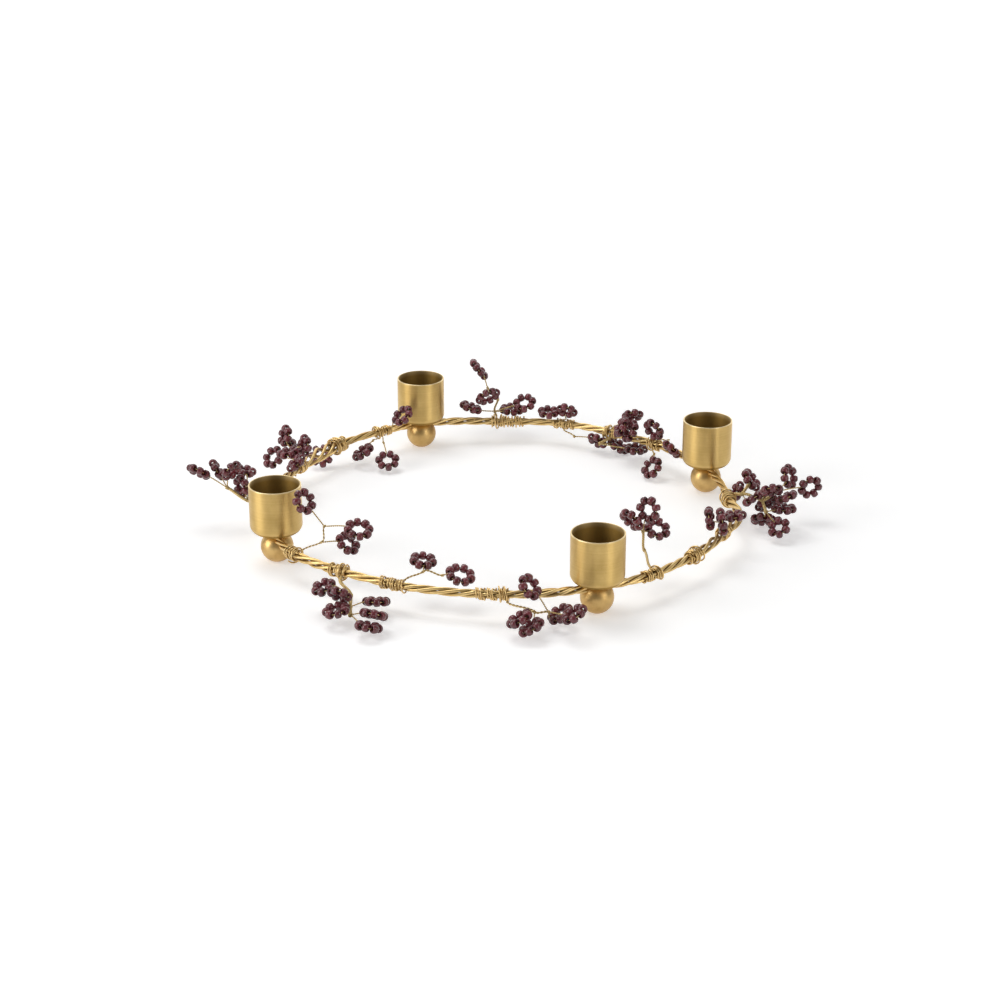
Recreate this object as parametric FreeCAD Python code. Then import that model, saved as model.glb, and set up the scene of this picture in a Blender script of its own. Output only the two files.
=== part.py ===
import FreeCAD, Part
import math
import os
from FreeCAD import Vector

# Candle ring: four brass candle cups on ball feet, joined by a hand-bent ring of twisted
# brass wires. Fine brass wire is wound round the ring and carries sprigs of glass beads.
# Millimetres, +Z up. The origin is the centre of the ring, on the surface it stands on.
# Azimuths are in degrees, anticlockwise from +X, seen from above.

# Candle cups, drawn from sheet brass for a standard taper candle
candle_diameter = 22.0
candle_clearance = 0.3
cup_wall = 0.7
cup_height = 23.0
cup_corner_radius = 4.0
cup_lip_round = 0.25

# Ball feet, with a small flat on top that the cup is soldered to
ball_diameter = 15.0
ball_flat_depth = 0.4

# Ring of twisted wires, soldered to the balls just under the cups
ring_radius = 110.4
strand_count = 4
strand_diameter = 1.5
strand_gap = 0.06
under_cup_gap = 0.2
hand_bend = 6.0
strand_spread = 2.0

# Wire wound round the ring
binding_diameter = 0.75
binding_turn_gap = 0.5
binding_clearance = 0.06
binding_slack = 0.5
slack_wave_share = 0.27
binding_tail = 0.6
tail_turn_share = 0.25

# Sprigs: fine wire, twisted in pairs between its loops of beads
fine_wire_diameter = 0.36
sprig_reach = 10.0
root_clearance = 0.06
knot_round = 0.2
# A union is whole when it gains this share of the added wire's volume. Turns of round seams
whole_union_share = 0.5
seam_turns = (0, 40, 80, 120, 160, 200)

# Glass seed beads
bead_diameter = 4.2
bead_length = 3.0
bead_hole_diameter = 1.2
bead_end_width = 0.35
bead_gap = 0.1
bead_size_shares = (1.0, 0.96, 1.02, 0.94)

# Where the four cups stand round the ring
cup_azimuths = {"front_left": 204.4, "front_right": 293.2, "rear_right": 381.1, "rear_left": 471.0}

# Each stretch of the ring: the cups it joins and, at nine even places from one to the other,
# how far it is bent out and up, as shares of hand_bend, and how far its strands are spread,
# as shares of strand_spread
stretches = {
    "front": {
        "cups": ("front_left", "front_right"),
        "turns": 5,
        "out_shares": (0.15, 0.42, 0.15, -0.12, -0.13, -0.13, 0.0, 0.1, 0.15),
        "up_shares": (0.0, 0.0, 0.02, 0.02, 0.0, 0.0, 0.0, 0.0, 0.0),
        "spread_shares": (0.0, 0.1, 0.15, 0.0, 0.0, 0.05, 0.0, 0.1, 0.0),
    },
    "right": {
        "cups": ("front_right", "rear_right"),
        "turns": 5,
        "out_shares": (0.2, 0.35, 0.2, 0.25, 0.3, 0.8, -0.05, -0.1, 0.0),
        "up_shares": (0.0, 0.0, 0.0, 0.02, 0.04, 0.02, 0.0, 0.0, 0.0),
        "spread_shares": (0.0, 0.05, 0.05, 0.2, 0.3, 0.2, 0.05, 0.0, 0.0),
    },
    "rear": {
        "cups": ("rear_right", "rear_left"),
        "turns": 5,
        "out_shares": (0.0, -0.1, -0.1, -0.25, 0.05, 0.05, -0.25, -0.05, 0.0),
        "up_shares": (0.0, -0.1, -0.17, -0.17, -0.17, -0.17, -0.17, -0.1, 0.0),
        "spread_shares": (0.0, 0.05, 0.1, 0.1, 0.0, 0.0, 0.05, 0.1, 0.0),
    },
    "left": {
        "cups": ("rear_left", "front_left"),
        "turns": 5,
        "out_shares": (0.0, -0.1, -0.25, -0.5, -0.7, -0.5, -0.2, -0.05, 0.0),
        "up_shares": (0.0, -0.05, -0.08, -0.1, -0.1, -0.08, -0.05, 0.0, 0.0),
        "spread_shares": (0.0, 0.0, 0.05, 0.9, 0.1, 0.2, 0.1, 0.0, 0.0),
    },
}

# The windings: stretch, place along it, turns, pitch share and slack share
binding_shares = (
    ("front", 0.131, 5, 1.30, 0.9),
    ("front", 0.300, 7, 1.00, 0.8),
    ("front", 0.463, 9, 1.05, 0.7),
    ("front", 0.727, 12, 1.00, 0.4),
    ("right", 0.157, 8, 1.00, 0.3),
    ("right", 0.322, 6, 1.05, 0.9),
    ("right", 0.500, 4, 1.10, 0.5),
    ("right", 0.750, 5, 1.25, 0.9),
    ("rear", 0.244, 5, 1.05, 0.5),
    ("rear", 0.405, 5, 1.10, 0.9),
    ("rear", 0.561, 8, 1.05, 0.5),
    ("rear", 0.735, 11, 1.25, 1.0),
    ("left", 0.123, 8, 1.00, 0.4),
    ("left", 0.289, 7, 1.00, 0.5),
    ("left", 0.490, 4, 1.20, 0.7),
    ("left", 0.780, 6, 1.00, 0.5),
)

# The sprigs. Each leaves its winding at winding_share of the winding's length. A fork is
# (the fork it grows from, 0 being the winding, and its place), and a loop of beads is (its
# fork, its number of beads, its place, the way it faces from outward, and how far it tilts
# up). Places are out from the ring, along it and up, as shares of sprig_reach, and angles
# are in degrees.
sprig_place_shares = {
    "front_1": {
        "binding": "front_1", "winding_share": 0.85, "trunk_share": 1.2,
        "forks": ((0, (-1.0, 0.55, 0.55)), (1, (-1.35, 0.3, 1.15))),
        "loops": (
            (2, 7, (-0.7, -0.25, 2.35), 100, 30),
            (2, 8, (-2.3, 1.6, 1.15), 70, 70),
            (1, 7, (-2.15, 0.95, 0.3), 110, 50),
        ),
    },
    "front_2": {
        "binding": "front_2", "winding_share": 0.9, "trunk_share": 2.4,
        "forks": ((0, (1.1, 1.1, -0.4)), (1, (1.7, 1.5, -0.6)), (2, (2.1, 1.8, -0.75))),
        "loops": (
            (1, 6, (1.65, 0.05, -0.05), 330, 70),
            (2, 6, (1.86, 1.08, -0.08), 190, 40),
            (3, 7, (2.45, 1.3, -0.52), 310, 80),
            (2, 7, (0.75, 2.2, -0.55), 210, 70),
            (3, 7, (2.05, 3.0, -0.45), 190, 60),
            (3, 7, (2.65, 3.15, -0.75), 180, 70),
        ),
    },
    "front_3": {
        "binding": "front_3", "winding_share": 0.9, "trunk_share": 1.3,
        "forks": ((0, (-0.85, 0.65, 0.45)), (1, (-1.2, 1.4, 0.25))),
        "loops": (
            (1, 7, (-1.5, 0.35, 0.65), 70, 80),
            (2, 8, (-1.55, 2.1, 0.25), 60, 70),
        ),
    },
    "front_4": {
        "binding": "front_4", "winding_share": 0.9, "trunk_share": 1.5,
        "forks": ((0, (0.8, 1.2, -0.45)), (1, (0.8, 1.8, -0.45))),
        "loops": (
            (2, 7, (0.75, 1.0, 0.7), 60, 40),
            (1, 7, (1.7, 0.55, -0.35), 260, 60),
            (1, 7, (1.9, 1.05, -0.65), 260, 60),
            (2, 7, (0.7, 2.3, -0.6), 280, 60),
            (2, 7, (1.8, 2.85, -0.1), 270, 60),
        ),
    },
    "right_1": {
        "binding": "right_1", "winding_share": 0.8, "trunk_share": 1.8,
        "forks": ((0, (-1.4, 0.65, 0.45)), (1, (-1.8, 0.95, 1.15))),
        "loops": (
            (2, 7, (-2.15, 0.55, 1.7), 90, 30),
            (2, 7, (-1.55, 1.0, 2.25), 280, 10),
            (2, 7, (-1.65, 1.7, 1.1), 340, 60),
        ),
    },
    "right_3": {
        "binding": "right_3", "winding_share": 0.7, "trunk_share": 1.5,
        "forks": ((0, (-0.2, 0.0, 0.45)),),
        "loops": (
            (1, 6, (-0.4, -0.8, 0.9), 20, 10),
            (1, 8, (0.2, -0.8, 0.85), 30, 10),
            (1, 6, (0.2, 0.7, 0.6), 160, 80),
        ),
    },
    "right_4": {
        "binding": "right_4", "winding_share": 0.8, "trunk_share": 2.2,
        "forks": ((0, (0.6, -0.4, 0.3)), (1, (1.4, -1.2, 0.3)), (2, (2.2, -0.9, 0.6)),
                  (1, (0.9, -0.3, 0.7)), (2, (1.5, -1.7, -0.1))),
        "loops": (
            (4, 7, (1.15, 0.25, 0.75), 340, 40),
            (1, 6, (0.55, 0.65, 0.0), 180, 30),
            (1, 7, (1.05, -0.95, 0.3), 140, 50),
            (2, 6, (1.75, -1.65, 0.95), 90, 50),
            (2, 7, (1.75, -0.65, -0.1), 120, 40),
            (5, 7, (2.45, -1.3, -0.15), 90, 80),
            (5, 7, (1.5, -1.2, -0.7), 80, 50),
            (3, 6, (2.45, -1.7, 0.6), 140, 60),
            (5, 6, (1.95, -2.6, -0.55), 230, 50),
            (3, 7, (2.9, -0.1, 1.0), 320, 20),
            (3, 7, (3.9, -0.3, 0.5), 100, 10),
        ),
    },
    "rear_1": {
        "binding": "rear_1", "winding_share": 0.5, "trunk_share": 1.2,
        "forks": ((0, (0.15, 0.3, 0.45)), (0, (-0.4, -0.3, -0.35)), (0, (0.3, -0.6, 0.3))),
        "loops": (
            (1, 7, (-0.3, -0.15, 0.9), 0, 20),
            (2, 7, (-1.5, -1.15, -0.55), 170, 40),
            (3, 6, (-0.85, -1.85, 0.45), 340, 40),
        ),
    },
    "rear_2": {
        "binding": "rear_2", "winding_share": 0.3, "trunk_share": 2.0,
        "forks": ((0, (0.1, -0.3, 0.5)), (0, (-0.8, 0.3, -0.4))),
        "loops": (
            (1, 6, (0.2, -1.05, 1.15), 40, 50),
            (1, 7, (-0.75, -1.0, 0.8), 130, 30),
            (1, 7, (-0.6, -1.45, 0.6), 140, 30),
            (2, 7, (0.25, -0.17, -0.73), 300, 60),
            (2, 7, (0.05, -1.4, -0.55), 60, 90),
        ),
    },
    "rear_3": {
        "binding": "rear_3", "winding_share": 0.5, "trunk_share": 1.2,
        "forks": ((0, (0.4, 0.1, 0.35)), (0, (-0.6, -0.7, -0.4))),
        "loops": (
            (1, 6, (0.0, 0.9, 0.55), 200, 80),
            (1, 6, (-0.08, -0.13, 0.77), 0, 40),
            (2, 6, (-0.6, -1.95, -0.5), 340, 40),
        ),
    },
    "rear_4": {
        "binding": "rear_4", "winding_share": 0.85, "trunk_share": 1.6,
        "forks": ((0, (0.3, 0.1, 0.45)), (1, (0.75, -0.05, 0.95)), (2, (0.95, 0.5, 1.5))),
        "loops": (
            (3, 8, (2.05, 1.0, 2.15), 280, 40),
            (2, 8, (0.05, 0.45, 1.35), 30, 40),
            (1, 7, (0.15, 1.35, 0.7), 290, 70),
            (1, 8, (0.95, -0.8, 0.35), 300, 90),
            (1, 7, (0.45, -1.45, 0.9), 160, 60),
        ),
    },
    "left_1_low": {
        "binding": "left_1", "winding_share": 0.75, "trunk_share": 1.0,
        "forks": ((0, (-0.2, 0.5, -0.3)), (0, (-0.9, 0.3, -0.25))),
        "loops": (
            (1, 7, (-1.05, 1.65, -0.4), 60, 60),
            (2, 7, (-2.25, 0.95, -0.65), 150, 60),
        ),
    },
    "left_1_high": {
        "binding": "left_1", "winding_share": 0.15, "trunk_share": 1.2,
        "forks": ((0, (-0.4, 0.0, 0.3)),),
        "loops": (
            (1, 7, (-1.3, -0.1, 1.15), 90, 50),
        ),
    },
    "left_2": {
        "binding": "left_2", "winding_share": 0.9, "trunk_share": 1.2,
        "forks": ((0, (0.5, -0.4, -0.1)),),
        "loops": (
            (1, 7, (0.65, 0.25, -0.55), 140, 40),
        ),
    },
    "left_3": {
        "binding": "left_3", "winding_share": 0.4, "trunk_share": 2.0,
        "forks": ((0, (0.2, 0.2, 0.45)), (1, (0.5, 0.0, 0.9))),
        "loops": (
            (2, 6, (1.0, -0.4, 1.35), 50, 20),
            (1, 6, (0.65, -0.8, 0.65), 210, 40),
            (2, 6, (-0.4, 0.2, 1.25), 50, 10),
            (1, 7, (1.4, 0.15, 0.35), 70, 40),
            (2, 6, (0.25, 0.7, 0.95), 20, 80),
            (1, 6, (-0.55, 1.45, 0.8), 30, 50),
        ),
    },
    "left_4": {
        "binding": "left_4", "winding_share": 0.5, "trunk_share": 2.2,
        "forks": ((0, (0.8, 0.4, 0.35)), (1, (1.8, 0.0, 0.85))),
        "loops": (
            (2, 7, (3.15, -0.3, 1.55), 230, 50),
            (2, 6, (2.3, -0.65, 1.5), 190, 30),
            (2, 6, (1.55, 0.15, 1.75), 320, 30),
            (1, 6, (1.05, -1.0, 1.3), 180, 80),
            (1, 6, (1.12, 0.02, 0.93), 220, 0),
        ),
    },
}

# Sizes that follow from the ones above
candle_bore_radius = candle_diameter / 2 + candle_clearance
cup_radius = candle_bore_radius + cup_wall
ball_radius = ball_diameter / 2
cup_floor_z = ball_diameter - ball_flat_depth
strand_radius = strand_diameter / 2
strand_turn_radius = (strand_diameter + strand_gap) / (2 * math.sin(math.pi / strand_count))
bundle_radius = strand_turn_radius + strand_radius
ring_z = cup_floor_z - under_cup_gap - bundle_radius
binding_radius = binding_diameter / 2
binding_pitch = binding_diameter + binding_turn_gap
pair_diameter = 2 * fine_wire_diameter
bead_end_radius = bead_hole_diameter / 2 + bead_end_width
look_ahead_share = 1e-3
straight_share = 1e-4
up = Vector(0, 0, 1)


# A smooth value between evenly spaced shares, passing through each of them
def eased(shares, share):
    last = len(shares) - 1
    place = share * last
    index = min(max(int(place), 0), last - 1)
    part = place - index
    before = shares[max(index - 1, 0)]
    start = shares[index]
    end = shares[index + 1]
    after = shares[min(index + 2, last)]
    start_slope = (end - before) / 2
    end_slope = (after - start) / 2
    square = part * part
    cube = square * part
    return ((2 * cube - 3 * square + 1) * start + (cube - 2 * square + part) * start_slope
            + (3 * square - 2 * cube) * end + (cube - square) * end_slope)


# The point at a share of a stretch's length, on the axis of its twisted wires
def ring_point(name, share):
    stretch = stretches[name]
    start, end = [cup_azimuths[cup] for cup in stretch["cups"]]
    span = (end - start) % 360
    azimuth = math.radians(start + span * share)
    radius = ring_radius + hand_bend * eased(stretch["out_shares"], share)
    height = ring_z + hand_bend * eased(stretch["up_shares"], share)
    return Vector(radius * math.cos(azimuth), radius * math.sin(azimuth), height)


# The directions there: along the ring, outward and up, square to each other
def ring_directions(name, share):
    along = ring_point(name, share + look_ahead_share) - ring_point(name, share - look_ahead_share)
    along.normalize()
    outward = along.cross(up)
    outward.normalize()
    return along, outward, outward.cross(along)


# How much wider than tightly twisted the wires lie there
def spread_at(name, share):
    return strand_spread * max(0, eased(stretches[name]["spread_shares"], share))


def ring_length(name):
    start, end = [cup_azimuths[cup] for cup in stretches[name]["cups"]]
    return math.radians((end - start) % 360) * ring_radius


# The point that lies off the ring's axis by a radius, at an angle round it
def off_axis(name, share, radius, angle):
    _, outward, upward = ring_directions(name, share)
    across = outward * math.cos(angle) + upward * math.sin(angle)
    return ring_point(name, share) + across * radius


def heading(path, place, step):
    way = path(place + step) - path(place - step)
    way.normalize()
    return way


# The middle of an arc that is tangent to both legs of a corner
def arc_middle(start, corner, end):
    half_chord = (end - start).Length / 2
    lean = min(half_chord / (corner - start).Length, 1)
    foot = (start + end) * 0.5
    return foot + (corner - foot) * (lean / (1 + lean))


def arc_or_line(start, corner, end):
    middle = arc_middle(start, corner, end)
    if (middle - (start + end) * 0.5).Length < straight_share * (end - start).Length:
        return Part.LineSegment(start, end).toShape()
    return Part.Arc(start, middle, end).toShape()


# Two tangent arcs from one point to the next, each with its own direction
def biarc(start, start_way, end, end_way):
    across = end - start
    ways = start_way + end_way
    bend = 2 * (1 - start_way.dot(end_way))
    lean = across.dot(ways)
    square = across.dot(across)
    if bend < straight_share:
        leg = square / (2 * lean)
    else:
        leg = (math.sqrt(lean * lean + bend * square) - lean) / bend
    first_corner = start + start_way * leg
    second_corner = end - end_way * leg
    joint = (first_corner + second_corner) * 0.5
    return [arc_or_line(start, first_corner, joint), arc_or_line(joint, second_corner, end)]


# One unbroken round wire through points, each with the direction of the wire there
def wire_through(points, ways, diameter):
    edges = []
    for index in range(len(points) - 1):
        edges += biarc(points[index], ways[index], points[index + 1], ways[index + 1])
    section = Part.Wire([Part.makeCircle(diameter / 2, points[0], ways[0])])
    return Part.Wire(edges).makePipeShell([section], True, False)


def candle_cup(azimuth):
    floor = cup_floor_z
    rim = floor + cup_height
    inner_corner = cup_corner_radius - cup_wall
    inner_floor = floor + cup_wall
    turn = math.sqrt(0.5)
    corner_out = cup_radius - cup_corner_radius
    corner_in = candle_bore_radius - inner_corner
    outer_corner = Part.Arc(
        Vector(corner_out, 0, floor),
        Vector(corner_out + cup_corner_radius * turn, 0, floor + cup_corner_radius * (1 - turn)),
        Vector(cup_radius, 0, floor + cup_corner_radius))
    outer_lip = Part.Arc(
        Vector(cup_radius, 0, rim - cup_lip_round),
        Vector(cup_radius - cup_lip_round * (1 - turn), 0, rim - cup_lip_round * (1 - turn)),
        Vector(cup_radius - cup_lip_round, 0, rim))
    inner_lip = Part.Arc(
        Vector(candle_bore_radius + cup_lip_round, 0, rim),
        Vector(candle_bore_radius + cup_lip_round * (1 - turn), 0, rim - cup_lip_round * (1 - turn)),
        Vector(candle_bore_radius, 0, rim - cup_lip_round))
    floor_corner = Part.Arc(
        Vector(candle_bore_radius, 0, inner_floor + inner_corner),
        Vector(corner_in + inner_corner * turn, 0, inner_floor + inner_corner * (1 - turn)),
        Vector(corner_in, 0, inner_floor))
    outline = Part.Wire([
        Part.LineSegment(Vector(0, 0, floor), outer_corner.StartPoint).toShape(),
        outer_corner.toShape(),
        Part.LineSegment(outer_corner.EndPoint, outer_lip.StartPoint).toShape(),
        outer_lip.toShape(),
        Part.LineSegment(outer_lip.EndPoint, inner_lip.StartPoint).toShape(),
        inner_lip.toShape(),
        Part.LineSegment(inner_lip.EndPoint, floor_corner.StartPoint).toShape(),
        floor_corner.toShape(),
        Part.LineSegment(floor_corner.EndPoint, Vector(0, 0, inner_floor)).toShape(),
        Part.LineSegment(Vector(0, 0, inner_floor), Vector(0, 0, floor)).toShape(),
    ])
    cup = Part.Face(outline).revolve(Vector(0, 0, 0), up, 360)
    return stand_at(cup, azimuth)


def ball_foot(azimuth):
    top = math.degrees(math.asin((cup_floor_z - ball_radius) / ball_radius))
    ball = Part.makeSphere(ball_radius, Vector(0, 0, ball_radius), up, -90, top, 360)
    return stand_at(ball, azimuth)


def stand_at(shape, azimuth):
    angle = math.radians(azimuth)
    shape.translate(Vector(ring_radius * math.cos(angle), ring_radius * math.sin(angle), 0))
    return shape


# One of the twisted wires of a stretch, run into both balls and then cut at their surfaces
def ring_strand(name, number):
    stretch = stretches[name]
    turns = stretch["turns"]
    first_angle = 2 * math.pi * number / strand_count

    def path(share):
        angle = first_angle + 2 * math.pi * turns * share
        return off_axis(name, share, strand_turn_radius + spread_at(name, share), angle)

    steps = 4 * turns
    points = [path(step / steps) for step in range(steps + 1)]
    ways = [heading(path, step / steps, look_ahead_share) for step in range(steps + 1)]
    strand = wire_through(points, ways, strand_diameter)
    for cup in stretch["cups"]:
        angle = math.radians(cup_azimuths[cup])
        centre = Vector(ring_radius * math.cos(angle), ring_radius * math.sin(angle), ball_radius)
        strand = strand.cut(Part.makeSphere(ball_radius, centre))
    return max(strand.Solids, key=lambda solid: solid.Volume)


# How one winding lies on its stretch
class Winding:
    def __init__(self, row, number):
        self.stretch, self.place_share, self.turns, pitch_share, slack_share = row
        self.length_share = self.turns * binding_pitch * pitch_share / ring_length(self.stretch)
        self.start_share = self.place_share - self.length_share / 2
        self.slack = binding_slack * slack_share
        self.number = number

    def share_at(self, turn):
        return self.start_share + self.length_share * turn / self.turns

    def radius_at(self, turn):
        spread = max(spread_at(self.stretch, self.share_at(place)) for place in (0, turn, self.turns))
        loose = self.slack * (1 - math.cos(2 * math.pi * slack_wave_share * turn + self.number)) / 2
        return bundle_radius + spread + binding_radius + binding_clearance + loose

    def point_at(self, turn):
        lift = binding_tail * max(0, 1 - (self.turns - turn) / tail_turn_share)
        return off_axis(self.stretch, self.share_at(turn), self.radius_at(turn) + lift,
                        2 * math.pi * turn + self.number)

    def wire(self):
        quarters = [quarter / 4 for quarter in range(4 * self.turns + 1)]
        points = [self.point_at(turn) for turn in quarters]
        ways = [heading(self.point_at, turn, look_ahead_share) for turn in quarters]
        return wire_through(points, ways, binding_diameter)

    # The least clear distance between turns, on points along the wire
    def self_gap(self):
        per_turn = 24
        points = [self.point_at(step / per_turn) for step in range(per_turn * self.turns + 1)]
        least = min((points[second] - points[first]).Length
                    for first in range(len(points))
                    for second in range(first + per_turn // 2, len(points)))
        return least - binding_diameter


# A seed bead, its hole along Z
def seed_bead(size_share):
    hole = bead_hole_diameter / 2
    end = bead_end_radius
    half = bead_length / 2
    crown = bead_diameter * size_share / 2
    outline = Part.Wire([
        Part.LineSegment(Vector(hole, 0, -half), Vector(end, 0, -half)).toShape(),
        Part.Arc(Vector(end, 0, -half), Vector(crown, 0, 0), Vector(end, 0, half)).toShape(),
        Part.LineSegment(Vector(end, 0, half), Vector(hole, 0, half)).toShape(),
        Part.LineSegment(Vector(hole, 0, half), Vector(hole, 0, -half)).toShape(),
    ])
    return Part.Face(outline).revolve(Vector(0, 0, 0), up, 360)


bead_patterns = [seed_bead(size_share) for size_share in bead_size_shares]


# The radius of a loop on which its beads just clear each other
def loop_radius(bead_count):
    return bead_end_radius + (bead_length / 2 + bead_gap) / math.tan(math.pi / bead_count)


# One sprig: its wires, fused where they are twisted together, and its beads
class Sprig:
    def __init__(self, name):
        layout = sprig_place_shares[name]
        winding = windings[layout["binding"]]
        turn = winding.turns * layout["winding_share"]
        share = winding.share_at(turn)
        self.root = ring_point(winding.stretch, share)
        self.along, self.outward, self.upward = ring_directions(winding.stretch, share)
        widest = max(winding.radius_at(turn + side) for side in (-1, 0, 1))
        self.foot_radius = widest + binding_radius + root_clearance
        self.trunk_diameter = pair_diameter * layout["trunk_share"]
        self.forks = [self.root] + [self.place(row[1]) for row in layout["forks"]]
        self.feet = sum(row[0] == 0 for row in layout["forks"])
        self.trunks = self.grow_trunks([row[0] for row in layout["forks"]])
        self.stems = []
        self.rings = []
        self.beads = []
        for fork, bead_count, place_shares, facing, tilt in layout["loops"]:
            self.grow_loop(self.forks[fork], bead_count, self.place(place_shares), facing, tilt)

    def place(self, place_shares):
        out, along, rise = [sprig_reach * share for share in place_shares]
        return self.root + self.outward * out + self.along * along + self.upward * rise

    # A trunk runs on through its forks, and one from an earlier fork is a wire of its own
    def grow_trunks(self, parents):
        trunks = []
        for index, parent in enumerate(parents, 1):
            fork = self.forks[index]
            if parent == 0:
                way = fork - self.root
                way -= self.along * way.dot(self.along)
                way.normalize()
                trunks.append(([self.root + way * self.foot_radius], [way]))
            elif parent != index - 1:
                start = self.forks[parent]
                trunks.append(([start], [(fork - start).normalize()]))
            points, ways = trunks[-1]
            leg = (fork - points[-1]).normalize()
            points.append(fork)
            ways.append((ways[-1] + leg * 2).normalize())
        return [wire_through(points, ways, self.trunk_diameter) for points, ways in trunks]

    def grow_loop(self, fork, bead_count, centre, facing, tilt):
        level = math.cos(math.radians(tilt))
        normal = (self.outward * (level * math.cos(math.radians(facing)))
                  + self.along * (level * math.sin(math.radians(facing)))
                  + self.upward * math.sin(math.radians(tilt)))
        stem = fork - centre
        stem -= normal * stem.dot(normal)
        stem.normalize()
        side = normal.cross(stem)
        radius = loop_radius(bead_count)
        root = centre + stem * radius
        leg = (root - fork).normalize()
        self.stems.append(wire_through([fork, root], [leg, stem * -1], pair_diameter))
        self.rings.append(Part.makeTorus(radius, fine_wire_diameter / 2, centre, normal))
        for number in range(bead_count):
            angle = 2 * math.pi * (number + 0.5) / bead_count
            spoke = stem * math.cos(angle) + side * math.sin(angle)
            bead = bead_patterns[len(self.beads) % len(bead_patterns)].copy()
            bead.Placement = FreeCAD.Placement(
                centre + spoke * radius, FreeCAD.Rotation(spoke, Vector(), normal.cross(spoke), "ZXY"))
            self.beads.append(bead)

    # All the wires made one in a given order, with the seams of knots and rings turned by an
    # angle. It comes with the number of its flaws: lost pieces, loose solids, bad faces
    def union(self, loops, seam_turn):
        knots = [Part.makeSphere(self.trunk_diameter / 2 + knot_round, fork) for fork in self.forks[1:]]
        if seam_turn:
            knots = [knot.rotated(knot.CenterOfMass, Vector(1, 1, 1), seam_turn) for knot in knots]
        wires = knots[0].fuse(knots[1:] + self.trunks)
        flaws = int(wires.Volume < max(trunk.Volume for trunk in self.trunks))
        for stem, ring in loops:
            torus = ring.Faces[0].Surface
            turned = ring.rotated(torus.Center, torus.Axis, seam_turn) if seam_turn else ring
            more = wires.fuse(stem).fuse(turned) if seam_turn else wires.fuse(stem.fuse(turned))
            flaws += more.Volume - wires.Volume < (stem.Volume + ring.Volume) * whole_union_share
            wires = more
        return flaws + abs(len(wires.Solids) - self.feet) + (not wires.isValid()), wires

    # Where the seams of two round wires meet badly, the union loses one of them. It is then made
    # again in another order, with the round seams elsewhere, which leaves every shape as it is
    def wires(self):
        loops = list(zip(self.stems, self.rings))
        tries = []
        for number, seam_turn in enumerate(seam_turns):
            first = number % len(loops)
            tries.append(self.union(loops[first:] + loops[:first], seam_turn))
            if tries[-1][0] == 0:
                break
        return min(tries, key=lambda made: made[0])[1]


def export(shape, node):
    shape.exportStep(os.path.join("parts", node + ".step"))


os.makedirs("parts", exist_ok=True)

for corner, azimuth in cup_azimuths.items():
    export(candle_cup(azimuth), "candle_cup_" + corner)
    export(ball_foot(azimuth), "ball_foot_" + corner)

for name in stretches:
    strands = [ring_strand(name, number) for number in range(strand_count)]
    export(Part.Compound(strands), "ring_wires_" + name)

windings = {}
for row in binding_shares:
    number = 1 + sum(winding.stretch == row[0] for winding in windings.values())
    windings[row[0] + "_" + str(number)] = Winding(row, len(windings))

least_gap = min(winding.self_gap() for winding in windings.values())
print("least gap between the turns of a winding: %.2f mm" % least_gap)
for name, winding in windings.items():
    export(winding.wire(), "binding_wire_" + name)

for name in sprig_place_shares:
    sprig = Sprig(name)
    export(sprig.wires(), "sprig_wire_" + name)
    export(Part.Compound(sprig.beads), "sprig_beads_" + name)
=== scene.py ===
import math
import random

import bpy
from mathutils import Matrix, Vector


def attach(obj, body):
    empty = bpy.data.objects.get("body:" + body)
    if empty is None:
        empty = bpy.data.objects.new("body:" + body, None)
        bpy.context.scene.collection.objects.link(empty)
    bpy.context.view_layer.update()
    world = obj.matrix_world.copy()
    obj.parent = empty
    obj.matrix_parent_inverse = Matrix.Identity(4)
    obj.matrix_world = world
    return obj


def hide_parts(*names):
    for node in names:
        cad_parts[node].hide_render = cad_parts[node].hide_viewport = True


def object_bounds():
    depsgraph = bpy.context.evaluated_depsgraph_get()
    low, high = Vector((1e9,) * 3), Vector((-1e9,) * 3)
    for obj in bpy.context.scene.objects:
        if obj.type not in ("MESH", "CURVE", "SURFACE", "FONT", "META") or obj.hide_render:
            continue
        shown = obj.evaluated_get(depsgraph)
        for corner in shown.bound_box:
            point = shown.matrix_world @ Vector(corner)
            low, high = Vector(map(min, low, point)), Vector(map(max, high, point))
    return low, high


# Candle ring: brass cups on ball feet, joined by a ring of twisted brass wires that
# carries sprigs of dark red glass seed beads. Metres, +Z up, seen from -Y.
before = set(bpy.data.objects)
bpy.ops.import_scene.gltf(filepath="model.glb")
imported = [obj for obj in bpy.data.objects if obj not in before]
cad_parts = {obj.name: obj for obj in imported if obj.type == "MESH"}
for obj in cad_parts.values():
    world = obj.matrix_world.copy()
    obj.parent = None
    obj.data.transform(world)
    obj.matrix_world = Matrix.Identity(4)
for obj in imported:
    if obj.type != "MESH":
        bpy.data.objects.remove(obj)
cad_low, cad_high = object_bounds()
mm = 0.001


# Candle cups
# Four deep cups drawn from brass sheet, with a rounded foot corner and a plain lip.
# They are turned and brushed on a lathe, so fine lines run round them.
cup_radius = 12.0 * mm
cup_wall = 0.7 * mm
cup_height = 23.0 * mm
cup_corner = 4.0 * mm
cup_lip = 0.25 * mm
cup_floor_z = 14.6 * mm
cup_rim_z = cup_floor_z + cup_height
cup_lip_edge = 0.15 * mm
brush_depth = 0.012 * mm
lathe_map_length = 40.0 * mm
# The lip is painted paler: a painted highlight where the rim catches the light
lip_highlight_share = 0.8
cup_sides = 96
ring_radius = 110.4 * mm
cup_azimuths = {"front_left": 204.4, "front_right": 293.2, "rear_right": 381.1, "rear_left": 471.0}
cup_pale_brass = (0.673, 0.471, 0.180, 1)
cup_deep_brass = (0.515, 0.331, 0.095, 1)


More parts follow.
